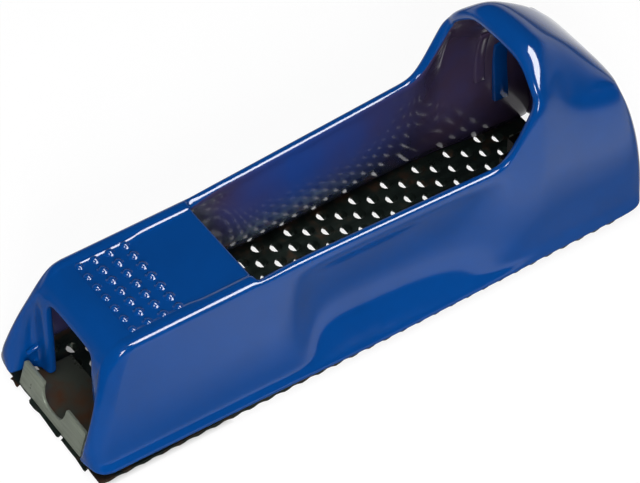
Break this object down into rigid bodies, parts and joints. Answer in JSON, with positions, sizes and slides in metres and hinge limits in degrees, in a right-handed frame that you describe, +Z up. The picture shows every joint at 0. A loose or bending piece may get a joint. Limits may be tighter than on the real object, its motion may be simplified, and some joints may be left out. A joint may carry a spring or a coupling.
{
  "type": "block rasp",
  "caption": "Hand block rasp: hollow enamelled casting with thumb pad, open chip well and hooded heel over a perforated toothed steel blade held by a front clip and a heel tension screw.",
  "frame": {"origin": "centre of the bounding box in plan, on the plane of the tooth tips", "axes": "+X from the thumb pad at the toe to the hooded heel, +Y across the body, +Z up from the tooth tips"},
  "size_m": [0.1539, 0.0446, 0.0602],
  "materials": {
    "blue_paint": "gloss blue enamel",
    "blade_steel": "dark hardened steel with light rust at the cut edges",
    "front_clip_steel": "bare sheet steel",
    "rear_clip_steel": "bare sheet steel",
    "hook_steel": "bare plate steel",
    "nut_zinc": "zinc plated",
    "screw_zinc": "zinc plated",
    "washer_zinc": "zinc plated",
    "spring_steel": "dark spring steel"
  },
  "bodies": {
    "casting": {"body_casting": "blue_paint", "flat_washer": "washer_zinc"},
    "blade": {"rasp_blade": "blade_steel", "front_clip": "front_clip_steel", "rear_clip": "rear_clip_steel"},
    "hook": {"tension_hook": "hook_steel", "tension_nut": "nut_zinc"},
    "screw": {"tension_screw": "screw_zinc", "lock_washer": "spring_steel"}
  },
  "joints": [
    {"name": "blade_release", "type": "slide", "parent": "casting", "child": "blade", "axis": [0, 0, -1], "range_m": [0, 0.04]},
    {"name": "screw_turn", "type": "hinge", "parent": "casting", "child": "screw", "pos_m": [0.0733, 0, 0.0125], "axis": [1, 0, 0], "range_deg": [0, 1543]},
    {"name": "hook_slide", "type": "slide", "parent": "casting", "child": "hook", "axis": [-1, 0, 0], "range_m": [0, 0.003]}
  ],
  "couplings": [
    {"joint": "screw_turn", "follows": "hook_slide", "rad_per_m": 8976}
  ]
}
